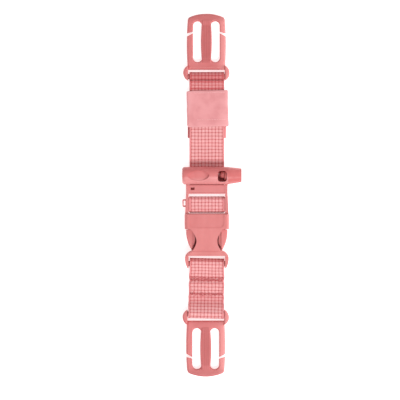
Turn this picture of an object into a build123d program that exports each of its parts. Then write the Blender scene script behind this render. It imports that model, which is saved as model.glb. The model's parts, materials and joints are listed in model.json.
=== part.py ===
from build123d import *
from math import asin, atan2, tan
import os

# Adjustable chest strap: a whistle side-release buckle, two split-bar clips and 25 mm webbing.
# +Y runs along the strap to the upper clip, +X to the whistle's mouthpiece and +Z out of the
# front. The origin is the middle of the female buckle's flat back, which lies on Z = 0.

# --- Driving dimensions, mm ---
WEB_W = 25.0            # webbing width
WEB_T = 1.3             # webbing thickness
WEB_GAP = 0.3           # least space between a bar and the webbing looped round it
PLY = WEB_T + 0.1       # pitch of stacked layers of webbing

BAR_R = 1.9             # round end bars of the clips and the female buckle
BAR_Z = 3.9             # height of their centres
EAR_X = 13.1            # inner faces of the ears that hold a web bar

# Clips, in their own frame: origin under the middle of the web bar, +Y to the free end
UPPER_CLIP_AT = (-0.3, 113.8)
LOWER_CLIP_AT = (-0.75, -56.5)
CLIP_T = 4.8            # thickness of the clip's frame
CLIP_TOP = 45.2         # web bar centre to the free end
CLIP_EAR_R = 6.0
CLIP_EAR_TOP = 6.7
CROSS_Y = (5.0, 10.4)   # cross-bar between the web bar and the slots
SLOT_X = (3.1, 9.6)     # the two long slots, left and right alike
SLOT_Y = (10.4, 39.8)
SLOT_R = 3.2
SPINE_HALF = 3.9        # half width of the centre bar at its middle
SPINE_T = 5.2
GROOVES = 5             # valleys between the ridges along the centre bar
ROOT_RIBS = 4           # rows of the grip pattern at the bar's root

# Female buckle
SOCKET_T = 11.0
SOCKET_HALF = 15.9
SOCKET_WALL = 1.7       # front and back walls
CAVITY_HALF = 13.7
PANEL_HALF = 12.4       # shallow panel let into the front
PANEL_Y = 5.2
PANEL_DEEP = 0.3
MOUTH_Y = 15.0
WINDOW_Y = (-10.4, 4.3)
CAVITY_END = -11.5
SHELF_Y = -14.8         # edge of the body behind the web slot
END_BAR_Y = -20.4
TAIL_END = -23.5
FLARE_HALF = 15.6
TAIL_HALF = 13.9

# Male buckle with the whistle
RAIL_X = (13.1, 14.9)
RAIL_FOOT = 15.6        # outer face of the rails where they meet the mouth
RAIL_Z = (0.6, 9.0)
RAIL_END = 40.0
INSERT_Z = (2.1, 8.9)   # everything that goes into the socket
INSERT_HALF = 13.3
FLANGE_Y = (15.1, 15.7)      # stop collar against the mouth
CARRIER_Y = 11.9
HINGE_X = 11.0          # root of each prong
HINGE_Y = 13.3
KNUCKLE_R = 1.6
PRONG_Z = (2.4, 8.6)
RIB_REACH = 8.4             # bowed rib along each prong's inner side
RIB_Z = (3.0, 7.2)
SLEEVE_Y = (15.9, 27.9)     # webbing sleeve round the wide bar
SLEEVE_HALF = 12.95
SLEEVE_Z = 5.0
SLEEVE_T = 6.6
WEB_BAR_Y = 33.4            # hidden round bar that carries the upper webbing
WEB_BAR_Z = 3.4
WEB_BAR_R = 1.7
PLATE_Y = (29.6, 36.1)
PLATE_Z = (7.1, 9.3)

# Whistle
BARREL_Y = 42.6
BARREL_Z = 9.0
BARREL_R = 6.3
BARREL_X = (-15.6, 15.2)
BARREL_FLAT = 4.4           # underside, over the webbing
CAP_END = -17.7
LIP_END = 24.8
BORE_R = 4.0
SOUND_X = (7.8, 14.2)       # sound window
RAMP_END = 12.4             # inner end of the mouthpiece's plug, seen in the window
RAMP_TIP = 9.3              # domed ramp on the plug, low down on the window's +Y side
RAMP_R = 2.5
RAMP_SHIFT = (0.8, -0.6)    # its axis from the barrel's, in Y and Z
SOUND_Y = (38.2, 45.9)
WINDOW_CORNER = 2.0

# Keeper band
KEEPER_Y = (77.8, 103.7)
KEEPER_HALF = 14.9
KEEPER_T = 0.8
KEEPER_Z = (0.05, 6.1)
KEEPER_TURN = 1.2           # degrees, how far it sits askew
KEEPER_X = 0.5
KEEPER_FLAP = 8.0           # how far its back panel runs on below the front
FLAP_HALF = 13.9

LOWER_WEB_TURN = -1.2       # degrees about Z
KEEPER_ROW_X = 13.0
KEEPER_PITCH = 2.2          # keeper's stitch to stitch
STITCH = (1.6, 0.45, 0.3)   # one thread on the surface: length, width, height


def span(x, y, z):
    """A box from three (low, high) pairs."""
    size = [b - a for a, b in (x, y, z)]
    middle = [(a + b) / 2 for a, b in (x, y, z)]
    return Pos(*middle) * Box(*size)


def mirrored(solid):
    """The solid and its mirror image across X = 0."""
    return solid + mirror(solid, about=Plane.YZ)


def across(radius, y, z, half):
    """A round bar along X."""
    return Pos(0, y, z) * Rot(0, 90, 0) * Cylinder(radius, 2 * half)


def softened(solid, edges, radius):
    """Rounds the edges, with a smaller radius where the first one does not fit."""
    for size in (radius, radius * 0.75, radius * 0.5, radius * 0.25):
        try:
            rounded = fillet(edges, size)
            if rounded.is_valid and rounded.volume > 0:
                return rounded
        except (ValueError, RuntimeError):
            continue
    print("left sharp:", len(edges), "edges, radius", radius)
    return solid


# --- Webbing: a centreline in the YZ plane, drawn out to the webbing's width ---
def tangent_angle(point, centre, radius, side):
    """Angle of the line from point that touches the circle on its upper (+1) or lower (-1) side."""
    dy, dz = centre[0] - point[0], centre[1] - point[1]
    reach = (dy**2 + dz**2) ** 0.5
    lift = asin(radius / reach)
    turn = lift if dy > 0 else -lift
    return atan2(dz, dy) + side * turn


def loop_corners(start, centre, radius, finish, first_side):
    """Two corners whose fillets of this radius lead a path round a bar, from start to finish."""
    ahead = 1 if centre[0] > start[0] else -1
    wall = centre[0] + ahead * radius
    corners = []
    for point, side in ((start, first_side), (finish, -first_side)):
        rise = tan(tangent_angle(point, centre, radius, side))
        corners.append((wall, point[1] + (wall - point[0]) * rise))
    return corners


def webbing(points, radii):
    """A strip of webbing that follows the points, rounded by one radius at each inner point."""
    centreline = FilletPolyline(*points, radius=radii)
    section = trace(centreline, line_width=WEB_T)
    return extrude(Plane.YZ * section, amount=WEB_W / 2, both=True)


def stitch_row(y, z, half, count):
    """Threads lying on the webbing: one row across it."""
    height = STITCH[2]
    step = 2 * half / (count - 1)
    return [Pos(-half + step * n, y, z + height / 2) * Box(*STITCH) for n in range(count)]


# --- Split-bar clip ---
def clip_outline():
    """The frame's outline: slightly barrelled sides and a shallow arch at the free end."""
    foot, widest, shoulder = 13.4, 14.1, 13.3
    right = ThreePointArc((foot, CROSS_Y[0]), (widest, 25.0), (shoulder, CLIP_TOP - 3.0))
    top = ThreePointArc((shoulder, CLIP_TOP - 3.0), (0, CLIP_TOP), (-shoulder, CLIP_TOP - 3.0))
    left = ThreePointArc((-shoulder, CLIP_TOP - 3.0), (-widest, 25.0), (-foot, CROSS_Y[0]))
    base = Line((-foot, CROSS_Y[0]), (foot, CROSS_Y[0]))
    face = make_face([right, top, left, base])
    corners = face.vertices().sort_by(Axis.Y)[-2:]
    return fillet(corners, 3.0)


def clip_slots():
    """The two long slots, rounded at their ends."""
    width, height = SLOT_X[1] - SLOT_X[0], SLOT_Y[1] - SLOT_Y[0]
    middle = (SLOT_Y[0] + SLOT_Y[1]) / 2
    slot = Pos((SLOT_X[0] + SLOT_X[1]) / 2, middle) * RectangleRounded(width, height, SLOT_R)
    return slot + mirror(slot, about=Plane.YZ)


def clip_spine():
    """The centre bar between the slots: it swells to the middle and is grooved lengthwise."""
    low, high = SLOT_Y[0] - 0.5, SLOT_Y[1] + 0.5
    middle = (low + high) / 2
    ends = SLOT_X[0]
    edge = ThreePointArc((ends, low), (SPINE_HALF, middle), (ends, high))
    back = ThreePointArc((-ends, high), (-SPINE_HALF, middle), (-ends, low))
    outline = make_face([edge, Line((ends, high), (-ends, high)), back, Line((-ends, low), (ends, low))])
    spine = extrude(outline, amount=SPINE_T)
    spine = softened(spine, spine.edges().filter_by(GeomType.CIRCLE).group_by(Axis.Z)[-1], 0.8)
    pitch = 2 * ends / (GROOVES + 1)
    for n in range(GROOVES):
        x = -ends + pitch * (n + 1)
        spine -= span((x - 0.2, x + 0.2), (low + 3.5, high - 3.5), (SPINE_T - 0.35, SPINE_T + 1))
        for rib in range(ROOT_RIBS):
            y = low + 0.3 + 0.7 * rib
            spine -= span((x - 0.3, x + 0.3), (y, y + 0.35), (SPINE_T - 0.25, SPINE_T + 1))
    return spine


def clip_gap():
    """The slanted gap through a side arm, where shoulder webbing is slipped into a slot."""
    inner, outer = 9.0, 15.5
    corners = [(inner, 32.6), (inner, 31.4), (outer, 27.9), (outer, 30.8)]
    return extrude(make_face(Polyline(*corners, close=True)), amount=CLIP_T + 2)


def make_clip():
    frame = extrude(clip_outline() - clip_slots(), amount=CLIP_T)
    frame = softened(frame, frame.faces().sort_by(Axis.Z)[-1].outer_wire().edges(), 1.5)
    slot_rims = [e for wire in frame.faces().sort_by(Axis.Z)[-1].inner_wires() for e in wire.edges()]
    frame = softened(frame, slot_rims, 1.0)
    frame = softened(frame, frame.faces().sort_by(Axis.Z)[0].outer_wire().edges(), 0.5)
    frame += clip_spine()
    frame -= mirrored(clip_gap())

    ear = Pos(EAR_X - 2.4, 2.5) * Circle(CLIP_EAR_R) & Pos(EAR_X + 2.5, 2.5) * Rectangle(5.0, 16.0)
    ear = Pos(0, 0, 0.2) * extrude(ear, amount=CLIP_EAR_TOP - 0.2)
    ear = softened(ear, ear.faces().sort_by(Axis.Z)[-1].edges(), 1.2)
    ear = softened(ear, ear.faces().sort_by(Axis.Z)[0].edges(), 0.6)
    return frame + mirrored(ear) + across(BAR_R, 0, BAR_Z, EAR_X + 0.8)


# --- Female buckle ---
def socket_tail_outline():
    """Waist, flare and tapering arms, seen from the front; half of it."""
    waist = (10.4, WINDOW_Y[0])
    flare = (FLARE_HALF, -15.8)
    side = Spline(waist, (12.6, -11.7), (14.7, -13.5), flare, tangents=((0.7, -0.7), (0.1, -1)))
    taper = ThreePointArc(flare, (15.3, -19.8), (TAIL_HALF, TAIL_END))
    lines = [Line((0, WINDOW_Y[0]), waist), side, taper]
    lines += [Line((TAIL_HALF, TAIL_END), (0, TAIL_END)), Line((0, TAIL_END), (0, WINDOW_Y[0]))]
    return make_face(lines)


def window_edge(top_x, waist_x, middle_x, y_pad):
    """Half of a wall's plan between the mouth and the waist, drawn in at the finger windows."""
    top, low = WINDOW_Y[1] + y_pad, WINDOW_Y[0] - y_pad
    bends = [(middle_x + 1.4, 0.2), (middle_x, -4.4), (middle_x + 0.7, -7.4)]
    curve = Spline((top_x, top), *bends, (waist_x, low))
    lines = [Line((0, top), (top_x, top)), curve, Line((waist_x, low), (0, low)), Line((0, low), (0, top))]
    return make_face(lines)


def make_socket():
    mouth = span((-SOCKET_HALF, SOCKET_HALF), (WINDOW_Y[1], MOUTH_Y), (0, SOCKET_T))
    mouth = softened(mouth, mouth.edges().filter_by(Axis.Y), 2.2)
    mouth = softened(mouth, mouth.faces().sort_by(Axis.Y)[-1].edges(), 0.4)

    tail = extrude(socket_tail_outline(), amount=SOCKET_T)
    tail += mirror(tail, about=Plane.YZ)
    tail = softened(tail, tail.faces().sort_by(Axis.Z)[-1].edges(), 1.6)
    tail -= span((-EAR_X, EAR_X), (TAIL_END - 1, SHELF_Y), (-1, SOCKET_T + 1))
    tail -= span((-20, 20), (TAIL_END - 1, SHELF_Y - 0.6), (8.6, SOCKET_T + 1))

    front = mirrored(extrude(window_edge(11.9, 10.3, 7.4, 0.8), amount=SOCKET_WALL))
    front = Pos(0, 0, SOCKET_T - SOCKET_WALL) * front
    back = mirrored(extrude(window_edge(13.2, 10.3, 11.2, 0.8), amount=SOCKET_WALL))

    panel = span((-PANEL_HALF, PANEL_HALF), (PANEL_Y, MOUTH_Y + 1), (SOCKET_T - PANEL_DEEP, SOCKET_T + 1))
    panel = softened(panel, panel.edges().filter_by(Axis.Z).sort_by(Axis.Y)[:2], 4.0)
    inside = (SOCKET_WALL, SOCKET_T - SOCKET_WALL)
    cavity = span((-CAVITY_HALF, CAVITY_HALF), (WINDOW_Y[0] + 0.4, MOUTH_Y + 1), inside)
    cavity += span((-9.2, 9.2), (CAVITY_END, WINDOW_Y[0] + 1), inside)
    socket = mouth + tail + front + back - cavity - panel
    return socket + across(BAR_R, END_BAR_Y, BAR_Z, EAR_X + 0.8)


# --- Male buckle: frame, prongs and whistle ---
def make_eyelet():
    """The small loop on the left rail, for a lanyard."""
    ring = Pos(-15.7, 23.0, 5.2) * Box(3.6, 5.7, 2.4) - Pos(-16.0, 23.0, 5.2) * Box(1.3, 3.3, 3.0)
    ring = softened(ring, ring.edges().filter_by(Axis.Z).sort_by(Axis.X)[:2], 1.0)
    return ring - span((-RAIL_X[1] - 0.1, 0), (19, 27), (0, 10))


def along_barrel(radius, low, high):
    """A round bar on the whistle's own axis."""
    return Pos((low + high) / 2, BARREL_Y, BARREL_Z) * Rot(0, 90, 0) * Cylinder(radius, high - low)


def make_barrel():
    """The whistle's tube: flat underneath, with an oval thumb recess on top."""
    tube = along_barrel(BARREL_R, *BARREL_X)
    tube -= span((-20, 20), (30, 55), (0, BARREL_FLAT))
    return tube - Pos(-6.0, BARREL_Y, 13.9) * extrude(Ellipse(7.4, 3.6), amount=3)


def barrel_hollows():
    """The whistle's chamber, and the sound window in its top."""
    window = span(SOUND_X, SOUND_Y, (BARREL_Z + 0.6, BARREL_Z + 8))
    window = softened(window, window.edges().filter_by(Axis.Z), WINDOW_CORNER)
    return along_barrel(BORE_R, BARREL_X[0] - 1, BARREL_X[1] + 1) + window


def make_frame():
    inner, outer = RAIL_X
    plan = [(inner, FLANGE_Y[0]), (RAIL_FOOT, FLANGE_Y[0]), (outer, PLATE_Y[0])]
    plan = Polyline(*plan, (outer, RAIL_END), (inner, RAIL_END), close=True)
    rail = extrude(make_face(plan), amount=RAIL_Z[1] - RAIL_Z[0])
    rail = Pos(0, 0, RAIL_Z[0]) * rail
    outside = [e for e in rail.edges() if e.center().X > outer - 0.01 and e.length > 8]
    rail = softened(rail, outside, 0.8)
    rail -= span((0, 20), (FLANGE_Y[0] - 1, PLATE_Y[0] - 1.2), (8.4, 12))
    frame = mirrored(rail)
    frame += span((-RAIL_FOOT, RAIL_FOOT), FLANGE_Y, INSERT_Z)
    frame += span((-INSERT_HALF, INSERT_HALF), (CARRIER_Y, FLANGE_Y[1]), INSERT_Z)

    plate = span((-14.9, 14.9), PLATE_Y, PLATE_Z)
    plate = softened(plate, plate.faces().sort_by(Axis.Z)[-1].edges(), 0.5)
    plate -= span((-13.0, 13.0), (PLATE_Y[0] + 0.8, PLATE_Y[1] - 0.7), (PLATE_Z[1] - 0.25, PLATE_Z[1] + 1))
    plate -= span((-11.5, -8.8), (32.3, 34.2), (PLATE_Z[0] - 1, PLATE_Z[1] + 1))
    frame += plate
    frame += across(WEB_BAR_R, WEB_BAR_Y, WEB_BAR_Z, RAIL_X[0] + 1.0)

    inset = WEB_T + 0.15
    bar_y, bar_t = SLEEVE_Y[1] - SLEEVE_Y[0] - 2 * inset, SLEEVE_T - 2 * inset
    bar = Plane.YZ * (Pos((SLEEVE_Y[0] + SLEEVE_Y[1]) / 2, SLEEVE_Z) * SlotOverall(bar_y, bar_t))
    frame += extrude(bar, amount=RAIL_X[0] + 1.0, both=True)

    blade = span((-1.7, 1.7), (-7.0, CARRIER_Y + 0.5), INSERT_Z)
    blade = softened(blade, blade.edges().filter_by(Axis.Z).sort_by(Axis.Y)[:2], 1.5)
    frame += blade
    for x in (-HINGE_X, HINGE_X):
        frame -= Pos(x, HINGE_Y, 5.5) * Cylinder(KNUCKLE_R + 0.1, 10)
        frame -= span((x - KNUCKLE_R - 0.1, x + KNUCKLE_R + 0.1), (CARRIER_Y - 1, HINGE_Y), (0, 11))
    return frame + make_eyelet() + make_barrel() - barrel_hollows()


def make_prong():
    """The right prong: a springy arm from its root, with a hooked thumb pad in the window."""
    lead = ThreePointArc((14.8, 4.0), (14.3, -2.5), (11.4, -9.9))
    lines = [
        Line((10.1, 13.3), (10.4, 2.0)),
        Line((10.4, 2.0), (10.4, -9.0)),
        Line((10.4, -9.0), (11.4, -9.9)),
        lead,
        Line((14.8, 4.0), (12.4, 4.0)),
        Line((12.4, 4.0), (11.9, 13.3)),
        Line((11.9, 13.3), (10.1, 13.3)),
    ]
    low, high = PRONG_Z
    prong = Pos(0, 0, low) * extrude(make_face(lines), amount=high - low)
    prong += Pos(HINGE_X, HINGE_Y, (low + high) / 2) * Cylinder(KNUCKLE_R, high - low)
    rib = ThreePointArc((10.8, 3.2), (RIB_REACH, -3.6), (10.8, -9.4))
    rib = extrude(make_face([rib, Line((10.8, -9.4), (10.8, 3.2))]), amount=RIB_Z[1] - RIB_Z[0])
    prong += Pos(0, 0, RIB_Z[0]) * rib
    rim = [e for e in prong.edges() if e.center().X > 12.6 and -9 < e.center().Y < 3 and e.length > 8]
    return softened(prong, rim, 0.9)


def make_mouthpiece():
    """The pressed-in insert: a flattened lip, the windway along its top and a ramp at the window."""
    wide = Plane.YZ.offset(BARREL_X[1] + 0.02) * (Pos(BARREL_Y, BARREL_Z) * Circle(BARREL_R - 0.05))
    lip = Plane.YZ.offset(LIP_END) * (Pos(BARREL_Y + 0.3, BARREL_Z + 0.4) * Ellipse(5.0, 4.0))
    nozzle = loft([wide.face(), lip.face()])
    plug = along_barrel(BORE_R - 0.1, RAMP_END, BARREL_X[1] + 0.5)
    plug = softened(plug, plug.faces().sort_by(Axis.X)[0].edges(), 1.4)
    ramp = Pos(0, RAMP_SHIFT[0], RAMP_SHIFT[1]) * along_barrel(RAMP_R, RAMP_TIP, RAMP_END + 1)
    ramp = softened(ramp, ramp.faces().sort_by(Axis.X)[0].edges(), RAMP_R - 0.3)
    insert = nozzle + plug + ramp
    insert -= span((BARREL_X[0], 30), (30, 55), (0, BARREL_FLAT))
    windway = span((RAMP_END - 0.6, LIP_END + 1), (BARREL_Y - 2.8, BARREL_Y + 2.8), (BARREL_Z + 1.4, BARREL_Z + 2.6))
    insert -= windway
    return insert


def make_end_cap():
    """The domed cap that closes the whistle's other end."""
    cap = along_barrel(BARREL_R - 0.05, CAP_END, BARREL_X[0] - 0.02)
    cap = softened(cap, cap.faces().sort_by(Axis.X)[0].edges(), 1.9)
    cap += along_barrel(BORE_R - 0.1, BARREL_X[0] - 0.1, BARREL_X[0] + 1.9)
    return cap - span((CAP_END - 1, BARREL_X[0]), (30, 55), (0, BARREL_FLAT))


# --- Webbing pieces ---
def make_sleeve():
    """The short loop of webbing sewn round the wide bar."""
    length = SLEEVE_Y[1] - SLEEVE_Y[0]
    middle = Pos((SLEEVE_Y[0] + SLEEVE_Y[1]) / 2, SLEEVE_Z)
    outer = middle * SlotOverall(length, SLEEVE_T)
    inner = middle * SlotOverall(length - 2 * WEB_T, SLEEVE_T - 2 * WEB_T)
    return extrude(Plane.YZ * (outer - inner), amount=SLEEVE_HALF, both=True)


def make_upper_web():
    """One length: sewn end, clip loop, live strand, male bar, front strand and its loose tail."""
    clip_bar = (UPPER_CLIP_AT[1], BAR_Z)
    male_bar = (WEB_BAR_Y, WEB_BAR_Z)
    clip_r = BAR_R + WEB_GAP + WEB_T / 2
    male_r = WEB_BAR_R + WEB_GAP + WEB_T / 2
    live, sewn = 1.65, 1.65 + PLY
    tail = sewn + PLY
    low = male_bar[1] - male_r
    clip_loop = loop_corners((106.0, sewn), clip_bar, clip_r, (108.0, live), 1)
    male_loop = loop_corners((49.0, low), male_bar, male_r, (39.6, low + PLY), -1)
    points = [(69.8, sewn), (106.0, sewn), *clip_loop, (108.0, live), (54.0, live), (49.0, low)]
    points += [*male_loop, (39.6, low + PLY), (49.0, low + PLY), (54.0, live + PLY)]
    points += [(63.5, sewn), (68.6, tail), (105.2, tail), (110.9, tail + 2.75)]
    radii = [4.0, 0.99 * clip_r, 0.99 * clip_r, 4.0, 4.0, 4.0, 0.99 * male_r, 0.99 * male_r]
    radii += [3.0, 4.0, 4.0, 4.0, 4.0, 4.0]
    return webbing(points, radii)


def make_lower_web():
    """One length: tail on top, female bar, back strand, clip loop and the end sewn between."""
    end_bar, clip_bar = (END_BAR_Y, BAR_Z), (LOWER_CLIP_AT[1], BAR_Z)
    radius = BAR_R + WEB_GAP + 0.25 + WEB_T / 2
    low = BAR_Z - radius
    middle, top = low + PLY, low + 2 * PLY
    end_loop = loop_corners((-29.5, top), end_bar, radius, (-33.0, low), 1)
    clip_loop = loop_corners((-44.0, low), clip_bar, radius, (-47.5, middle), -1)
    points = [(-33.7, top), (-29.5, top), *end_loop, *clip_loop, (-47.5, middle), (-27.4, middle)]
    radii = [4.0] + [0.99 * radius] * 4 + [4.0]
    return webbing(points, radii)


def make_keeper():
    """The elastic band round all the layers of webbing."""
    low, high = KEEPER_Z
    outer = RectangleRounded(2 * KEEPER_HALF, high - low, 1.6)
    inner = RectangleRounded(2 * (KEEPER_HALF - KEEPER_T), high - low - 2 * KEEPER_T, 0.9)
    ring = Plane.XZ * (outer - inner)
    length = KEEPER_Y[1] - KEEPER_Y[0]
    band = extrude(ring, amount=length / 2, both=True)
    middle = Pos(KEEPER_X, (KEEPER_Y[0] + KEEPER_Y[1]) / 2, (low + high) / 2)
    flap_y = (KEEPER_Y[0] - KEEPER_FLAP, KEEPER_Y[1] - length / 2)
    flap = span((-FLAP_HALF, FLAP_HALF), flap_y, (low, low + KEEPER_T))
    return middle * Rot(0, 0, KEEPER_TURN) * band + flap


def keeper_stitches():
    """Two rows of thread along the keeper's overlap."""
    middle_y = (KEEPER_Y[0] + KEEPER_Y[1]) / 2
    place = Pos(KEEPER_X, middle_y, KEEPER_Z[1]) * Rot(0, 0, KEEPER_TURN)
    length, width, height = STITCH
    spots = [(x, KEEPER_PITCH * (n - 5)) for x in (-KEEPER_ROW_X, KEEPER_ROW_X) for n in range(11)]
    return [place * Pos(x, y, height / 2) * Box(width, length, height) for x, y in spots]


def lower_stitches():
    """Bar tacks through the lower webbing: a broad one at the tail and one between the plies."""
    radius = BAR_R + WEB_GAP + 0.25 + WEB_T / 2
    top_face = BAR_Z - radius + 2 * PLY + WEB_T / 2
    rows = []
    for y in (-30.9, -31.9, -32.9):
        rows += stitch_row(y, top_face, 10.6, 12)
    for y in (-42.0, -43.1):
        rows += stitch_row(y, top_face - PLY, 10.6, 12)
    return rows


def upper_stitches():
    """Bar tack that closes the clip loop, on the back of the live strand."""
    height = STITCH[2]
    rows = []
    for y in (105.2, 106.3):
        rows += stitch_row(y, 1.0 - height, 10.6, 12)
    return rows


def main():
    os.makedirs("parts", exist_ok=True)
    clip = make_clip()
    prong = make_prong()
    upper_x, upper_y = UPPER_CLIP_AT
    lower_x, lower_y = LOWER_CLIP_AT
    turn = Pos(0.15, END_BAR_Y, 0) * Rot(0, 0, LOWER_WEB_TURN) * Pos(0, -END_BAR_Y, 0)
    nodes = {
        "buckle_socket": make_socket(),
        "whistle_frame": make_frame(),
        "whistle_mouthpiece": make_mouthpiece(),
        "whistle_end_cap": make_end_cap(),
        "right_prong": prong,
        "left_prong": mirror(prong, about=Plane.YZ),
        "bar_sleeve": make_sleeve(),
        "upper_web": make_upper_web(),
        "upper_web_stitching": Compound(children=upper_stitches()),
        "web_keeper": make_keeper(),
        "keeper_stitching": Compound(children=keeper_stitches()),
        "lower_web": turn * make_lower_web(),
        "lower_web_stitching": Compound(children=[turn * thread for thread in lower_stitches()]),
        "upper_clip": Pos(upper_x, upper_y, 0) * clip,
        "lower_clip": Pos(lower_x, lower_y, 0) * Rot(0, 0, 180) * clip,
    }
    for name, shape in nodes.items():
        export_step(shape, f"parts/{name}.step")


main()
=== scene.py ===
"""Chest strap with a whistle buckle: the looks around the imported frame.

Every length is in metres, in the frame's own axes: +Y along the strap to the upper clip, +X to the
whistle's mouthpiece, +Z out of the front. The mouldings keep their frame meshes and get a plastic
finish. The webbing, the keeper and the thread are built here and replace their plain frame solids.
"""
import json
import logging
import math
from collections.abc import Callable
from dataclasses import dataclass, field, replace
from enum import Enum

import bpy
import numpy as np
from mathutils import Matrix, Vector

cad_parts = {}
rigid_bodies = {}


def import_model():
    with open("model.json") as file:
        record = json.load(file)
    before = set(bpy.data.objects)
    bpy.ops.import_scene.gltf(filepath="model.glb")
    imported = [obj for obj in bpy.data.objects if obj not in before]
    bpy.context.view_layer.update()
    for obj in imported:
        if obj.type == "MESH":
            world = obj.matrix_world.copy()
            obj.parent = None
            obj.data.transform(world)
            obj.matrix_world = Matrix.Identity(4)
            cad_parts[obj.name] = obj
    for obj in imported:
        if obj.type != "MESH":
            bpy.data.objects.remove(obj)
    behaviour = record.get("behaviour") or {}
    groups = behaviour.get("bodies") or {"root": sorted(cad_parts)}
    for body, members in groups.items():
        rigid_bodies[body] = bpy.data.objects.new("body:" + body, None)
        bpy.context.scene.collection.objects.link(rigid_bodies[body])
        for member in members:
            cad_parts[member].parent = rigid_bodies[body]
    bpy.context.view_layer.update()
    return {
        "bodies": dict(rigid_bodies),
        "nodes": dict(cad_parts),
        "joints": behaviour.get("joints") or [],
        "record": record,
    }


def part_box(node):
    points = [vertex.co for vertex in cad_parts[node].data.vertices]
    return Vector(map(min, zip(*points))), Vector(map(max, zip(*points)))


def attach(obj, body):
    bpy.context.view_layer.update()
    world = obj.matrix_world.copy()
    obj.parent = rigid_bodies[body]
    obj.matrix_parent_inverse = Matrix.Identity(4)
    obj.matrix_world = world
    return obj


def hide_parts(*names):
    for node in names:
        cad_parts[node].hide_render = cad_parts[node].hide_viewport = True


LOG = logging.getLogger("chest_strap")
MM = 0.001
X, Y = range(2)

Colour = tuple[float, float, float]
Point = tuple[float, float]
Shape = Callable[[np.ndarray], np.ndarray]


def srgb(red: int, green: int, blue: int) -> Colour:
    """Turns an 8-bit display colour into linear light."""
    parts = [c / 255 for c in (red, green, blue)]
    return tuple(c / 12.92 if c <= 0.04045 else ((c + 0.055) / 1.055) ** 2.4 for c in parts)


def ramp(y: np.ndarray, start: float, run: float) -> np.ndarray:
    """0 up to the start, then 1 from a run past it."""
    return np.clip((y - start) / run, 0, 1)


def swell(y: np.ndarray, at: float, width: float) -> np.ndarray:
    """1 at a place, falling smoothly to nothing on both sides of it."""
    return np.exp(-((y - at) / width) ** 2)


# Node trees: one graph class for shaders and geometry, and one wrapper for maths on sockets

class Wire:
    """One output socket, with Python's operators standing for Math nodes."""

    def __init__(self, graph: "Graph", socket: bpy.types.NodeSocket) -> None:
        """Holds the socket and the graph it belongs to."""
        self.graph = graph
        self.socket = socket

    def maths(self, operation: str, *others: "Wire | float") -> "Wire":
        """Adds one Math node, whose inputs are this wire and the others."""
        values = dict(enumerate((self, *others)))
        return self.graph.add("ShaderNodeMath", values, operation=operation)[0]

    def __add__(self, other: "Wire | float") -> "Wire":
        """Sum."""
        return self.maths("ADD", other)

    __radd__ = __add__

    def __mul__(self, other: "Wire | float") -> "Wire":
        """Product."""
        return self.maths("MULTIPLY", other)

    __rmul__ = __mul__

    def __sub__(self, other: "Wire | float") -> "Wire":
        """Difference."""
        return self.maths("SUBTRACT", other)

    def __rsub__(self, other: float) -> "Wire":
        """Difference from a number."""
        return self.maths("MULTIPLY_ADD", -1.0, other)

    def __truediv__(self, other: float) -> "Wire":
        """Quotient."""
        return self.maths("DIVIDE", other)

    def __pow__(self, other: float) -> "Wire":
        """Power."""
        return self.maths("POWER", other)

    def __abs__(self) -> "Wire":
        """Absolute value."""
        return self.maths("ABSOLUTE")

    def cos(self) -> "Wire":
        """Cosine."""
        return self.maths("COSINE")

    def above(self, low: float, high: float) -> "Wire":
        """A smooth step that is 0 up to low and 1 from high on."""
        values = {0: self, 1: low, 2: high}
        return self.graph.add("ShaderNodeMapRange", values, interpolation_type="SMOOTHSTEP")[0]

    def ripple(self, pitch: float) -> "Wire":
        """A smooth wave between 0 and 1 that repeats at every pitch."""
        return (self * (2 * math.pi / pitch)).cos() * 0.5 + 0.5


class Graph:
    """A node tree that is filled in by one method."""

    def __init__(self, tree: bpy.types.NodeTree) -> None:
        """Empties the tree and keeps it."""
        self.tree = tree
        tree.nodes.clear()

    def add(self, kind: str, values: dict | None = None, **settings: str) -> list[Wire]:
        """Adds a node.

        Args:
            kind: The node's type.
            values: Values or wires for its inputs, by name or place.
            settings: Its settings, set before anything is linked.

        Returns:
            The node's outputs that are in use.
        """
        node = self.tree.nodes.new(kind)
        for name, value in settings.items():
            setattr(node, name, value)
        for key, value in (values or {}).items():
            socket = node.inputs[key]
            if isinstance(value, Wire):
                self.tree.links.new(value.socket, socket)
            else:
                socket.default_value = value
        return [Wire(self, socket) for socket in node.outputs if socket.enabled]

    def attribute(self, name: str) -> Wire:
        """A float attribute of the mesh, in a shader."""
        wires = self.add("ShaderNodeAttribute", attribute_type="GEOMETRY", attribute_name=name)
        return next(w for w in wires if w.socket.name == "Fac")

    def place(self, stretch: Colour = (1.0, 1.0, 1.0)) -> Wire:
        """Object coordinates, stretched along each axis."""
        spot = next(w for w in self.add("ShaderNodeTexCoord") if w.socket.name == "Object")
        return self.add("ShaderNodeVectorMath", {0: spot, 1: stretch}, operation="MULTIPLY")[0]

    def axes(self) -> list[Wire]:
        """Object coordinates, one wire for each axis."""
        return self.add("ShaderNodeSeparateXYZ", {0: self.place()})

    def noise(self, where: Wire, scale: float, detail: float = 2.0) -> Wire:
        """Fractal noise from 0 to 1, with a scale in features a metre and a detail in octaves."""
        values = {"Vector": where, "Scale": scale, "Detail": detail, "Roughness": 0.55}
        return self.add("ShaderNodeTexNoise", values, noise_dimensions="3D")[0]

    def blend(self, amount: Wire | float, first: "Wire | Colour", second: "Wire | Colour") -> Wire:
        """Mixes two colours.

        Args:
            amount: 0 for the first, 1 for the second.
            first: The first colour.
            second: The second colour.

        Returns:
            The mixed colour.
        """
        node = self.tree.nodes.new("ShaderNodeMix")
        node.data_type = "RGBA"
        given = {"Factor_Float": amount, "A_Color": first, "B_Color": second}
        for identifier, value in given.items():
            socket = next(s for s in node.inputs if s.identifier == identifier)
            if isinstance(value, Wire):
                self.tree.links.new(value.socket, socket)
            else:
                socket.default_value = (*value, 1.0) if isinstance(value, tuple) else value
        result = next(s for s in node.outputs if s.identifier == "Result_Color")
        return Wire(self, result)


# Finishes

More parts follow.
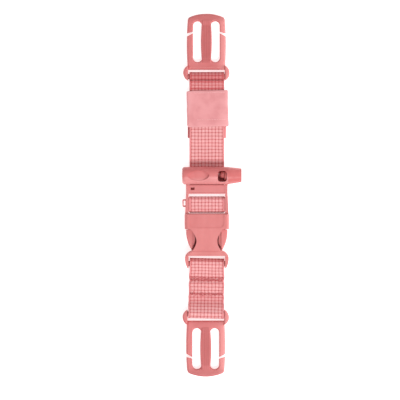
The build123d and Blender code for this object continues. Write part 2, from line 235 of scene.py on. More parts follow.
@dataclass(frozen=True)
class Finish:
    """What every finish shares: a name and how it becomes a material."""

    name: str

    def material(self) -> bpy.types.Material:
        """Builds the material, or returns it if it is there already."""
        found = bpy.data.materials.get(self.name)
        if found:
            return found
        material = bpy.data.materials.new(self.name)
        material.use_nodes = True
        self.dress(Graph(material.node_tree))
        return material

    def dress(self, graph: Graph) -> None:
        """Fills in the material's nodes."""
        raise NotImplementedError

    @staticmethod
    def surface(graph: Graph, constants: dict, colour: Wire, roughness: Wire, bumps: list) -> None:
        """Ends the tree in a Principled shader.

        Args:
            graph: The tree.
            constants: Values of the shader's own sockets.
            colour: The base colour.
            roughness: The roughness.
            bumps: Pairs of a height and the depth in metres that it stands for, finest last.
        """
        normal = None
        for height, depth in bumps:
            values = {"Height": height, "Distance": depth, "Strength": 1.0}
            if normal:
                values["Normal"] = normal
            normal = graph.add("ShaderNodeBump", values)[0]
        values = {"Base Color": colour, "Roughness": roughness, "Normal": normal, **constants}
        shader = graph.add("ShaderNodeBsdfPrincipled", values)[0]
        graph.add("ShaderNodeOutputMaterial", {"Surface": shader})


@dataclass(frozen=True)
class Band:
    """A band of painted light, a darker tint for painted shade and a lighter one for a painted
    highlight, that comes in from one place to another along an axis.
    """

    axis: int
    start: float
    end: float
    amount: float
    tint: Colour

    def ramp(self, axes: list[Wire]) -> Wire:
        """How much of the tint there is, from 0 at the start to the full amount at the end."""
        step = axes[self.axis].above(*sorted((self.start, self.end)))
        return (step if self.start < self.end else 1 - step) * self.amount


@dataclass(frozen=True)
class Spine:
    """A deeper, softly edged stripe along Y with fine lines; its tint spreads a little past it."""

    middle: float
    half: float
    low: float
    high: float
    soft: float
    tint: Colour
    lines: float = 0.42
    spread: float = 0.2
    base: float = 0.12
    line_pitch: float = 1.45 * MM

    def mask(self, axes: list[Wire]) -> Wire:
        """How much of the tint there is at each place."""
        across = abs(axes[X] - self.middle)
        around = 1 - across.above(self.half * 1.2, self.half * 3.4)
        bar = 1 - across.above(self.half, self.half + self.soft)
        run_in = axes[Y].above(self.low, self.low + 3 * self.soft)
        length = run_in * (1 - axes[Y].above(self.high - 3 * self.soft, self.high))
        lines = axes[X].ripple(self.line_pitch) * self.lines + self.base
        return around * self.spread + bar * length * lines


@dataclass(frozen=True)
class MouldedPlastic(Finish):
    """Satin moulded plastic: fine spark grain, faint flow marks and rubbed high spots.

    The scales of its marks are in features a metre.
    """

    light: Colour
    deep: Colour
    roughness: float = 0.42
    grain: float = 0.018 * MM
    spine: Spine | None = None
    # Bands of painted light: painted shade and painted highlights.
    painted_light_bands: tuple[Band, ...] = ()
    flow_scale: float = 95.0
    mottle_scale: float = 420.0
    spark_scale: float = 5200.0
    scuff_scale: float = 1500.0

    def dress(self, graph: Graph) -> None:
        """Fills in the material's nodes."""
        spot, axes = graph.place(), graph.axes()
        flow = graph.noise(graph.place((1.0, 0.35, 1.0)), self.flow_scale, 3.0)
        mottle = graph.noise(spot, self.mottle_scale)
        spark = graph.noise(spot, self.spark_scale)
        scuff = graph.noise(graph.place((1.0, 0.12, 1.0)), self.scuff_scale, 1.0).above(0.62, 0.8)
        tone = flow.above(0.3, 0.72) * 0.55 + mottle * 0.3 + spark * 0.15
        colour = graph.blend(tone, self.deep, self.light)
        if self.spine:
            colour = graph.blend(self.spine.mask(axes), colour, self.spine.tint)
        # Painted light: the bands lay on painted shade and painted highlights.
        for band in self.painted_light_bands:
            colour = graph.blend(band.ramp(axes), colour, band.tint)
        roughness = (mottle - 0.5) * 0.12 + scuff * 0.08 + self.roughness
        constants = {
            "IOR": 1.48,
            "Coat Roughness": 0.25,
            "Subsurface Weight": 0.06,
            "Subsurface Radius": (0.9 * MM, 0.3 * MM, 0.3 * MM),
            "Subsurface Scale": 1.0,
        }
        self.surface(graph, constants, colour, roughness, [(flow, 0.06 * MM), (spark, self.grain)])


@dataclass(frozen=True)
class WovenTape(Finish):
    """Coarse woven nylon with fine yarns along both ways: pale raised cells as a painted highlight,
    deep rose between them as painted shade, and more painted shade where a strap's tone asks for
    it.
    """

    crest: Colour
    flank: Colour
    pit: Colour
    # The colour of the painted shade that a strap's tone attribute lays on.
    painted_shade: Colour
    yarn: float = 0.41 * MM
    fibre_scale: float = 9000.0
    mottle_scale: float = 260.0

    def dress(self, graph: Graph) -> None:
        """Fills in the material's nodes."""
        relief = graph.attribute("relief")
        open_weave = 1 - graph.attribute("plain")
        lines = [1 - abs((graph.attribute(name) * math.pi).cos()) for name in ("column", "row")]
        gaps = [line.above(0.62, 1.0) for line in lines]
        strands, picks = [graph.attribute(name).ripple(self.yarn) for name in ("across", "along")]
        fibre = graph.noise(graph.place((1.0, 0.2, 0.2)), self.fibre_scale)
        mottle = graph.noise(graph.place(), self.mottle_scale)
        corner = lines[0].above(0.3, 0.9) * lines[1].above(0.3, 0.9)
        # Painted shade in the hollows between the cells and at their corners, and a painted
        # highlight on the raised cells, varied by the yarns and random mottle.
        pit = (gaps[0] * 0.42 + gaps[1] * 0.3 + corner * 0.5) * open_weave
        colour = graph.blend(pit, self.flank, self.pit)
        cell = (1 - lines[0].above(0.25, 0.8)) * (1 - lines[1].above(0.2, 0.75)) * open_weave
        crown = cell * (strands * 0.3 + fibre * 0.3 + mottle * 0.55 + 0.15)
        colour = graph.blend(crown, colour, self.crest)
        # Painted shade where the strap's tone attribute asks for it, lighter on the raised cells.
        colour = graph.blend(graph.attribute("tone") * (1 - relief * 0.35), colour, self.painted_shade)
        roughness = fibre * 0.12 + 0.66
        bumps = [(strands, 0.07 * MM), (picks, 0.03 * MM), (fibre, 0.05 * MM)]
        constants = {"Sheen Weight": 0.25, "Sheen Roughness": 0.45, "Specular IOR Level": 0.35}
        self.surface(graph, constants, colour, roughness, bumps)


@dataclass(frozen=True)
class KnitElastic(Finish):
    """Soft brushed elastic: very fine ribs across the band and a downy, milky surface."""

    light: Colour
    deep: Colour
    edge: Colour
    rib: float = 0.55 * MM
    down_scale: float = 6500.0
    cloud_scale: float = 130.0

    def dress(self, graph: Graph) -> None:
        """Fills in the material's nodes."""
        ribs = graph.attribute("along").ripple(self.rib)
        down = graph.noise(graph.place((0.3, 1.0, 1.0)), self.down_scale, 3.0)
        cloud = graph.noise(graph.place(), self.cloud_scale)
        # Painted highlight: both sides of the band drawn lighter.
        painted_side_highlight = abs(graph.axes()[X] - 0.5 * MM).above(8.5 * MM, 14.5 * MM)
        tone = cloud.above(0.32, 0.68) * 0.4 + ribs * 0.2 + down * 0.2 + painted_side_highlight * 0.3
        colour = graph.blend(tone, self.deep, self.light)
        colour = graph.blend(graph.attribute("edge") * 0.35, colour, self.edge)
        roughness = down * 0.1 + 0.78
        bumps = [(ribs, 0.035 * MM), (down, 0.05 * MM)]
        constants = {"Sheen Weight": 0.4, "Sheen Roughness": 0.5, "Specular IOR Level": 0.25}
        self.surface(graph, constants, colour, roughness, bumps)


@dataclass(frozen=True)
class TwistedThread(Finish):
    """Sewing thread: two plies wound round each other, with a slight lustre."""

    light: Colour
    deep: Colour
    lay: float = 0.35 * MM
    fuzz_scale: float = 7000.0

    def dress(self, graph: Graph) -> None:
        """Fills in the material's nodes."""
        axes = graph.axes()
        wound = (axes[X] + axes[Y] * 0.6).ripple(self.lay)
        fuzz = graph.noise(graph.place(), self.fuzz_scale)
        colour = graph.blend(wound * 0.6 + fuzz * 0.4, self.deep, self.light)
        roughness = fuzz * 0.15 + 0.5
        constants = {"Sheen Weight": 0.2, "Specular IOR Level": 0.4}
        self.surface(graph, constants, colour, roughness, [(wound, 0.05 * MM)])


@dataclass(frozen=True)
class StudioFloor(Finish):
    """Plain near-white paper with the faintest tooth, lit from within as on a light table."""

    shade: Colour
    tooth: Colour
    glow: float = 0.62
    tooth_scale: float = 900.0

    def dress(self, graph: Graph) -> None:
        """Fills in the material's nodes."""
        tooth = graph.noise(graph.place(), self.tooth_scale)
        colour = graph.blend(tooth * 0.04, self.shade, self.tooth)
        constants = {"Specular IOR Level": 0.1, "Emission Strength": self.glow}
        constants["Emission Color"] = (1, 1, 1, 1)
        self.surface(graph, constants, colour, tooth * 0.05 + 0.9, [(tooth, 0.01 * MM)])


class Palette:
    """The strap's finishes, one of each."""

    body = MouldedPlastic("coral_moulding", srgb(228, 141, 139), srgb(213, 121, 120))
    whistle = MouldedPlastic(
        "coral_whistle",
        srgb(224, 131, 130),
        srgb(206, 110, 110),
        0.38,
        # Painted light on the whistle: painted shade on the barrel's +Y side, a painted highlight
        # on its -Y side, and the plate below the barrel drawn darker.
        painted_light_bands=(
            Band(Y, 43.0 * MM, 48.0 * MM, 0.42, srgb(184, 80, 80)),
            Band(Y, 42.0 * MM, 38.5 * MM, 0.42, srgb(232, 166, 165)),
            Band(Y, 37.0 * MM, 36.0 * MM, 0.36, srgb(202, 104, 104)),
        ),
    )
    panel = replace(
        body,
        name="coral_panelled",
        spine=Spine(0.0, 12.1 * MM, 4.6 * MM, 16.5 * MM, 0.35 * MM, srgb(190, 92, 92), 0.0, 0.04),
    )
    polished = MouldedPlastic(
        "coral_polished", srgb(222, 126, 124), srgb(202, 104, 103), 0.17, 0.003 * MM
    )
    thread = TwistedThread("coral_thread", srgb(232, 128, 130), srgb(192, 72, 76))
    tape = WovenTape(
        "coral_webbing",
        # Painted highlight on the raised cells.
        crest=srgb(246, 191, 190),
        flank=srgb(234, 146, 147),
        # Painted shade in the weave's hollows.
        pit=srgb(174, 58, 60),
        # Painted shade that the straps' tone lays on.
        painted_shade=srgb(186, 52, 56),
    )
    elastic = KnitElastic(
        "pale_elastic", srgb(240, 168, 170), srgb(216, 136, 138), srgb(250, 196, 198)
    )
    hem_thread = TwistedThread("pale_thread", srgb(255, 214, 212), srgb(248, 186, 186))
    floor = StudioFloor("paper_floor", (0.93, 0.93, 0.93), (0.86, 0.86, 0.86))

    @staticmethod
    def clip(node: str) -> MouldedPlastic:
        """A clip's plastic, with painted shade on its recessed, grooved centre bar and towards both
        ends, and a painted highlight on its right arm.

        Args:
            node: The clip's frame node.

        Returns:
            The finish.
        """
        low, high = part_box(node)
        foot, tip = (low[Y], high[Y]) if high[Y] > 0.05 else (high[Y], low[Y])
        inward = math.copysign(MM, foot - tip)
        ends = sorted(foot + (tip - foot) * share for share in (0.27, 0.92))
        middle = (low[X] + high[X]) / 2
        return MouldedPlastic(
            f"{node}_moulding",
            srgb(224, 133, 132),
            srgb(208, 113, 113),
            roughness=0.45,
            grain=0.022 * MM,
            # Painted shade: the recessed centre bar drawn darker, with stripes standing in for the
            # shading of its grooves.
            spine=Spine(middle, 3.6 * MM, *ends, 0.9 * MM, srgb(192, 92, 92)),
            # Painted light: a painted highlight on the right arm, and painted shade towards the tip
            # and the foot.
            painted_light_bands=(
                Band(X, 7.0 * MM, 13.0 * MM, 0.6, srgb(244, 160, 158)),
                Band(Y, tip + 7.5 * inward, tip + 3.0 * inward, 0.42, srgb(172, 88, 88)),
                Band(Y, foot - 13.0 * inward, foot - 9.0 * inward, 0.16, srgb(176, 84, 84)),
            ),
        )


# Geometry Nodes: the weave, and rows of stitches

class Rule(Enum):
    """The node trees that shape repeating detail."""

    WEAVE = "weave_relief"
    STITCH = "stitch_row"


class RuleTree:
    """Builds one geometry tree with named inputs, and applies it to pieces."""

    SOCKETS = {
        Rule.WEAVE: {
            "Pitch": 2.45 * MM, "Relief": 0.25 * MM, "Plain Edge": 11.2 * MM, "Material": None
        },
        Rule.STITCH: {"Length": 1.6 * MM, "Thickness": 0.22 * MM, "Material": None},
    }
    WANDER = 0.6 * MM
    WANDER_SCALE = 160.0
    UNEVEN_SCALE = 410.0
    EDGE_SOFT = 0.35 * MM
    STITCH_SEED = 7
    STITCH_SIZES = (0.88, 1.12)

    def __init__(self, rule: Rule) -> None:
        """Makes the tree for a rule."""
        self.rule = rule
        self.tree = bpy.data.node_groups.new(rule.value, "GeometryNodeTree")
        self.graph = Graph(self.tree)
        face = self.tree.interface
        face.new_socket("Geometry", in_out="INPUT", socket_type="NodeSocketGeometry")
        for name, value in self.SOCKETS[rule].items():
            kind = "NodeSocketMaterial" if value is None else "NodeSocketFloat"
            socket = face.new_socket(name, in_out="INPUT", socket_type=kind)
            if value is not None:
                socket.default_value = value
        face.new_socket("Geometry", in_out="OUTPUT", socket_type="NodeSocketGeometry")
        source = self.graph.add("NodeGroupInput")
        self.inputs = {wire.socket.name: wire for wire in source if wire.socket.name}
        shaped = self.weave() if rule is Rule.WEAVE else self.stitches()
        self.finish(shaped)

    def named(self, name: str) -> Wire:
        """A float attribute of the geometry."""
        kind = "GeometryNodeInputNamedAttribute"
        return self.graph.add(kind, {"Name": name}, data_type="FLOAT")[0]

    def finish(self, shaped: Wire) -> None:
        """Ends the tree in Realize Instances and Set Material."""
        solid = self.graph.add("GeometryNodeRealizeInstances", {"Geometry": shaped})[0]
        values = {"Geometry": solid, "Material": self.inputs["Material"]}
        dressed = self.graph.add("GeometryNodeSetMaterial", values)[0]
        self.graph.add("NodeGroupOutput", {"Geometry": dressed})

    def groove(self, place: Wire) -> Wire:
        """1 on the lines between cells and 0 in their middles."""
        wave = abs((place / self.inputs["Pitch"] * math.pi).cos())
        return 1 - wave ** 0.5

    def weave(self) -> Wire:
        """Raises a cell of yarn at each crossing of the tape, and leaves pits at its corners."""
        across, along = self.named("across"), self.named("along")
        spot = {"X": across, "Y": along, "Z": 0.31}
        place = self.graph.add("ShaderNodeCombineXYZ", spot)[0]
        wander = (self.graph.noise(place, self.WANDER_SCALE, 1.0) - 0.5) * self.WANDER
        uneven = self.graph.noise(place, self.UNEVEN_SCALE, 1.0)
        column, row = across + wander * 0.6, along + wander
        columns, rows = self.groove(column), self.groove(row)
        cells = (1 - columns * 0.5 - rows * 0.5) * (uneven * 0.5 + 0.75)
        past = (abs(across) - self.inputs["Plain Edge"]) / self.EDGE_SOFT
        plain = past.maths("MINIMUM", 1.0).maths("MAXIMUM", 0.0)
        selvedge = 0.82 - rows * 0.18
        height = (cells * (1 - plain) + selvedge * plain) * self.named("skin")
        normal = self.graph.add("GeometryNodeInputNormal")[0]
        values = {"Vector": normal, "Scale": height * self.inputs["Relief"]}
        offset = self.graph.add("ShaderNodeVectorMath", values, operation="SCALE")[0]
        kept, pitch = self.inputs["Geometry"], self.inputs["Pitch"]
        stored = {"relief": height, "column": column / pitch, "row": row / pitch, "plain": plain}
        for name, value in stored.items():
            values = {"Geometry": kept, "Name": name, "Value": value}
            store = "GeometryNodeStoreNamedAttribute"
            kept = self.graph.add(store, values, data_type="FLOAT", domain="POINT")[0]
        values = {"Geometry": kept, "Offset": offset}
        return self.graph.add("GeometryNodeSetPosition", values)[0]

    def stitches(self) -> Wire:
        """Lays one bowed thread on each point of the piece, turned as the point's heading says."""
        half = self.inputs["Length"] * 0.5
        vector = "ShaderNodeCombineXYZ"
        start, end = [self.graph.add(vector, {"X": x})[0] for x in (half * -1.0, half)]
        bow = self.graph.add(vector, {"Z": self.inputs["Thickness"] * 1.6})[0]
        values = {"Start": start, "Middle": bow, "End": end, "Resolution": 6}
        arc = self.graph.add("GeometryNodeCurveQuadraticBezier", values)[0]
        values = {"Resolution": 8, "Radius": self.inputs["Thickness"] * 0.5}
        ring = self.graph.add("GeometryNodeCurvePrimitiveCircle", values)[0]
        values = {"Curve": arc, "Profile Curve": ring, "Fill Caps": True}
        thread = self.graph.add("GeometryNodeCurveToMesh", values)[0]
        turn = self.graph.add(vector, {"Z": self.named("heading")})[0]
        values = {"Seed": self.STITCH_SEED, 2: self.STITCH_SIZES[0], 3: self.STITCH_SIZES[1]}
        size = self.graph.add("FunctionNodeRandomValue", values, data_type="FLOAT")[0]
        values = {"Points": self.inputs["Geometry"], "Instance": thread}
        values.update({"Rotation": turn, "Scale": size})
        return self.graph.add("GeometryNodeInstanceOnPoints", values)[0]

    def apply(self, piece: bpy.types.Object, material: bpy.types.Material, **sizes: float) -> None:
        """Runs the tree on a piece and keeps the result as its plain mesh.

        Args:
            piece: The piece.
            material: Its finish.
            sizes: Inputs by name, with underscores for spaces.
        """
        modifier = piece.modifiers.new(self.rule.value, "NODES")
        modifier.node_group = self.tree
        given = {name.replace("_", " "): value for name, value in sizes.items()}
        given["Material"] = material
        for item in self.tree.interface.items_tree:
            if item.in_out == "INPUT" and item.name in given:
                modifier[item.identifier] = given[item.name]
        graph = bpy.context.evaluated_depsgraph_get()
        shaped = bpy.data.meshes.new_from_object(piece.evaluated_get(graph), depsgraph=graph)
        piece.modifiers.clear()
        piece.data = shaped


# Mesh helpers

def make_piece(
    name: str, vertices: np.ndarray, faces: list, attributes: dict | None = None
) -> bpy.types.Object:
    """Makes a smooth-shaded mesh object at the origin.

    Args:
        name: The piece's name.
        vertices: Points in metres.
        faces: Tuples of point numbers.
        attributes: Float attributes of the points.

    Returns:
        The object.
    """
    mesh = bpy.data.meshes.new(name)
    mesh.from_pydata(np.asarray(vertices, float).tolist(), [], faces)
    for key, values in (attributes or {}).items():
        layer = mesh.attributes.new(key, "FLOAT", "POINT")
        layer.data.foreach_set("value", np.asarray(values, np.float32))
    mesh.polygons.foreach_set("use_smooth", [True] * len(mesh.polygons))
    mesh.update()
    piece = bpy.data.objects.new(name, mesh)
    bpy.context.scene.collection.objects.link(piece)
    return piece


def tube_faces(rings: int, sides: int, capped: bool = True) -> list:
    """Faces of a tube of closed rings.

    Args:
        rings: How many rings.
        sides: Points in each ring.
        capped: Whether both ends are closed.

    Returns:
        The faces, wound so that a ring that runs anticlockwise about the path faces outwards.
    """
    faces = []
    for ring in range(rings - 1):
        for side in range(sides):
            after = (side + 1) % sides
            a, b = ring * sides + side, ring * sides + after
            faces.append((a, b, b + sides, a + sides))
    if capped:
        faces.append(tuple(reversed(range(sides))))
        faces.append(tuple(range((rings - 1) * sides, rings * sides)))
    return faces


def rounded_path(corners: list[Point], radii: list[float], step: float) -> np.ndarray:
    """A path of straight runs joined by tangent arcs, as evenly spaced points.

    Args:
        corners: The path's corners in its own plane.
        radii: One radius for each inner corner.
        step: The spacing of the points.

    Returns:
        The points, one a row.
    """
    points = [np.array(corners[0], float)]
    for before, corner, after, radius in zip(corners, corners[1:], corners[2:], radii):
        here = np.array(corner, float)
        back = np.array(before, float) - here
        ahead = np.array(after, float) - here
        back /= np.linalg.norm(back)
        ahead /= np.linalg.norm(ahead)
        half = math.acos(float(np.clip(back @ ahead, -1, 1))) / 2
        reach = radius / math.tan(half)
        bisector = back + ahead
        bisector /= np.linalg.norm(bisector)
        centre = here + bisector * radius / math.sin(half)
        start, end = here + back * reach - centre, here + ahead * reach - centre
        sweep = math.pi - 2 * half
        count = max(3, int(radius * sweep / (0.3 * step)))
        for share in np.linspace(0, 1, count):
            blend = start * math.sin((1 - share) * sweep) + end * math.sin(share * sweep)
            points.append(centre + blend / math.sin(sweep))
    points.append(np.array(corners[-1], float))
    line = np.array(points)
    gaps = np.linalg.norm(np.diff(line, axis=0), axis=1)
    line = line[np.concatenate([[True], gaps > 1e-9])]
    walked = np.concatenate([[0.0], np.cumsum(np.linalg.norm(np.diff(line, axis=0), axis=1))])
    stops = np.linspace(0, walked[-1], int(round(walked[-1] / step)) + 1)
    return np.stack([np.interp(stops, walked, line[:, axis]) for axis in range(2)], axis=1)


# Webbing

@dataclass
class Tape:
    """A length of 25 mm webbing that follows a path in the YZ plane."""

    width: float = 25.0 * MM
    thickness: float = 1.3 * MM
    pitch: float = 2.45 * MM
    relief: float = 0.25 * MM
    samples: int = 7
    edge_points: int = 3
    edge_relief: float = 0.25
    end_relief: float = 0.45

    def section(self) -> tuple[np.ndarray, np.ndarray]:
        """The tape's closed cross-section.

        Returns:
            Points as (across, height), and how far each takes the weave's relief, 0 to 1.
        """
        half, core = self.width / 2, self.thickness / 2 - self.relief
        step = self.pitch / self.samples
        reach = int(half / step) - 1
        flat = np.arange(-reach, reach + 1) * step
        rim = half - flat[-1]
        angles = np.linspace(-90, 90, self.edge_points + 2)[1:-1] * math.pi / 180
        core_edge = core + 0.55 * self.relief
        right = [(flat[-1] + rim * math.cos(a), core_edge * math.sin(a)) for a in angles]
        bottom = [(x, -core) for x in flat]
        top = [(x, core) for x in reversed(flat)]
        left = [(-x, -z) for x, z in right]
        points = np.array(bottom + right + top + left)
        half_skin = [1.0] * len(flat) + [self.edge_relief] * self.edge_points
        return points, np.array(half_skin * 2)

    def build(
        self,
        name: str,
        path: np.ndarray,
        spread: Shape | None = None,
        flat: Shape | None = None,
        tone: Shape | None = None,
    ) -> bpy.types.Object:
        """Draws the section along the path.

        Args:
            name: The piece's name.
            path: Points as (y, z).
            spread: Scale of the width at each point of the path.
            flat: How much of the weave's relief is left at each point, 0 to 1.
            tone: How much painted shade there is at each point, 0 to 1.

        Returns:
            The tape, plain, with its weave's attributes.
        """
        section, skin = self.section()
        tangent = np.gradient(path, axis=0)
        tangent /= np.linalg.norm(tangent, axis=1)[:, None]
        normal = np.stack([-tangent[:, 1], tangent[:, 0]], axis=1)
        walked = np.concatenate([[0], np.cumsum(np.linalg.norm(np.diff(path, axis=0), axis=1))])
        rings, sides = len(path), len(section)
        spots = np.zeros((rings, sides, 3))
        wide = spread(path) if spread else np.ones(rings)
        spots[:, :, 0] = section[None, :, 0] * wide[:, None]
        spots[:, :, 1] = path[:, None, 0] + normal[:, None, 0] * section[None, :, 1]
        spots[:, :, 2] = path[:, None, 1] + normal[:, None, 1] * section[None, :, 1]
        ends = flat(path) if flat else np.ones(rings)
        ends[0] = ends[-1] = self.end_relief
        attributes = {
            "across": np.tile(section[:, 0], rings),
            "along": np.repeat(walked, sides),
            "skin": np.outer(ends, skin).ravel(),
            "tone": np.repeat(tone(path) if tone else np.zeros(rings), sides),
        }
        return make_piece(name, spots.reshape(-1, 3), tube_faces(rings, sides), attributes)


def tangent_rise(point: Point, centre: Point, radius: float, side: int) -> float:
    """Slope of the line from a point that touches a circle.

    Args:
        point: The point.
        centre: The circle's centre.
        radius: Its radius.
        side: 1 for its upper side, -1 for its lower one.

    Returns:
        The line's rise for each unit along Y.
    """
    dy, dz = centre[0] - point[0], centre[1] - point[1]
    lift = math.asin(radius / math.hypot(dy, dz))
    return math.tan(math.atan2(dz, dy) + side * (lift if dy > 0 else -lift))


def loop_corners(
    start: Point, centre: Point, radius: float, finish: Point, first: int
) -> list[Point]:
    """Corners that lead a path round a bar.

    Args:
        start: The last point before the loop.
        centre: The bar's centre.
        radius: The loop's radius.
        finish: The first point after the loop.
        first: 1 if the path reaches the bar's upper side first, else -1.

    Returns:
        Two corners.
    """
    wall = centre[0] + (radius if centre[0] > start[0] else -radius)
    rises = [tangent_rise(p, centre, radius, n) for p, n in ((start, first), (finish, -first))]
    return [(wall, p[1] + (wall - p[0]) * rise) for p, rise in zip((start, finish), rises)]


def joint_place(frame: dict, name: str) -> tuple[float, float, float]:
    """A point on the axis of one of the frame's hinges."""
    return tuple(next(j for j in frame["joints"] if j["name"] == name)["pos_m"])


@dataclass
class Piecework:
    """What every sub-assembly with sewn pieces shares: weaving, riding, replacing and reporting."""

    trees: dict
    body = ""

    def weave(self, name: str, tape: Tape, path: np.ndarray, **shapes: Shape) -> bpy.types.Object:
        """Lays a tape along a path and raises its weave.

        Args:
            name: The piece's name.
            tape: The tape.
            path: Points as (y, z).
            shapes: Tape.build's spread, flat and tone.

        Returns:
            The finished piece.
        """
        piece = tape.build(name, path, **shapes)
        material = Palette.tape.material()
        self.trees[Rule.WEAVE].apply(piece, material, Pitch=tape.pitch, Relief=tape.relief)
        return piece

    def fit(self, piece: bpy.types.Object, replaced: str, slot: str) -> None:
        """Lets a piece ride on the sub-assembly's body in place of a frame node.

        Args:
            piece: The finished piece.
            replaced: The frame node that it stands for.
            slot: The record's material slot; not used.
        """
        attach(piece, self.body)
        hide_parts(replaced)
        triangles = sum(len(p.vertices) - 2 for p in piece.data.polygons)
        LOG.info("%s: %d triangles on %s", piece.name, triangles, self.body)


def dress_node(frame: dict, node: str, finish: Finish) -> None:
    """Gives a frame node its finish.

    Args:
        frame: The loaded frame.
        node: The node's name.
        finish: Its finish.
    """
    piece = frame["nodes"][node]
    for slot in piece.material_slots:
        slot.material = finish.material()
    LOG.info("%s: finish %s", node, finish.name)


@dataclass
class Stitching:
    """Rows of thread that lie on webbing."""

    trees: dict
    length: float = 1.6 * MM
    thickness: float = 0.42 * MM
    finish: TwistedThread = Palette.thread

    def build(self, name: str, spots: list, headings: list[float]) -> bpy.types.Object:
        """Lays one stitch at each spot.

        Args:
            name: The piece's name.
            spots: The middle of each stitch, in metres.
            headings: Each stitch's turn about Z, in radians.

        Returns:
            The stitches as one mesh.
        """
        piece = make_piece(name, np.array(spots), [], {"heading": headings})
        self.trees[Rule.STITCH].apply(
            piece, self.finish.material(), Length=self.length, Thickness=self.thickness
        )
        piece.data.polygons.foreach_set("use_smooth", [True] * len(piece.data.polygons))
        return piece


@dataclass
class Strap(Piecework):
    """What both straps share. Places along a strap are Y in the frame."""

    tape: Tape = field(default_factory=Tape)
    ply: float = 1.4 * MM
    bend: float = 4.0 * MM
    hug: float = 0.99


@dataclass
class UpperStrap(Strap):
    """The upper webbing: clip loop, live strand, male bar, front strand and loose tail."""

    live: float = 1.65 * MM
    clip_radius: float = 3.05 * MM
    male_radius: float = 2.65 * MM
    sewn_end: float = 69.8 * MM
    shoulder: float = 106.0 * MM
    turn_in: float = 108.0 * MM
    lifted: float = 54.0 * MM
    dipped: float = 49.0 * MM
    slit: float = 39.6 * MM
    slit_bend: float = 3.0 * MM
    tail_climb: Point = (63.5 * MM, 68.6 * MM)
    tail_lift: float = 105.2 * MM
    tail_end: Point = (110.9 * MM, 2.75 * MM)
    flat_length: float = 223 * MM
    tack_rows: int = 3
    tack_columns: int = 15
    body = "upper_strap"

    def path(self, frame: dict) -> np.ndarray:
        """The webbing's centreline, from the sewn end to the loose tail's end."""
        clip_bar = joint_place(frame, "upper_clip_tilt")[1:]
        male_bar = joint_place(frame, "upper_strap_fold")[1:]
        sewn, low = self.live + self.ply, male_bar[1] - self.male_radius
        tail = sewn + self.ply
        shoulder, turn_in = (self.shoulder, sewn), (self.turn_in, self.live)
        rise, fall = (self.dipped, low), (self.slit, low + self.ply)
        corners = [(self.sewn_end, sewn), shoulder]
        corners += loop_corners(shoulder, clip_bar, self.clip_radius, turn_in, 1)
        corners += [turn_in, (self.lifted, self.live), rise]
        corners += loop_corners(rise, male_bar, self.male_radius, fall, -1)
        corners += [fall, (self.dipped, low + self.ply), (self.lifted, sewn)]
        corners += [(self.tail_climb[0], sewn), (self.tail_climb[1], tail), (self.tail_lift, tail)]
        corners += [(self.tail_end[0], tail + self.tail_end[1])]
        radii = [self.bend] + [self.hug * self.clip_radius] * 2 + [self.bend] * 3
        radii += [self.hug * self.male_radius] * 2 + [self.slit_bend] + [self.bend] * 5
        return rounded_path(corners, radii, self.tape.pitch / 6)

    def tone(self, path: np.ndarray) -> np.ndarray:
        """Painted shade: darker round the clip's bar and down to the keeper, a painted shadow just
        above the keeper, and a painted shadow of the whistle where the strap runs in under it.
        """
        y = path[:, 0] / MM
        loop = 0.62 * ramp(y, 108.5, 2.5) + 0.5 * ramp(y, 100, 5)
        keeper_shadow, whistle_shadow = 0.6 * swell(y, 104.8, 1.0), 0.3 * ramp(-y, -53.6, 1.2)
        return np.clip(loop + keeper_shadow + whistle_shadow, 0, 0.85)

    def build(self, frame: dict) -> None:
        """Builds the webbing and its bar tack."""
        strip = self.weave("upper_webbing", self.tape, self.path(frame), tone=self.tone)
        self.fit(strip, "upper_web", "webbing")
        low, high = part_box("upper_web_stitching")
        rows = np.linspace(low[1] + 0.75 * MM, high[1] - 0.15 * MM, self.tack_rows)
        columns = np.linspace(low[0] + 0.8 * MM, high[0] - 0.8 * MM, self.tack_columns)
        spots = [(x, y, low[2] + 0.28 * MM) for y in rows for x in columns]
        threads = Stitching(self.trees, 1.5 * MM, 0.3 * MM)
        tack = threads.build("upper_bar_tack", spots, [0.25] * len(spots))
        self.fit(tack, "upper_web_stitching", "thread")


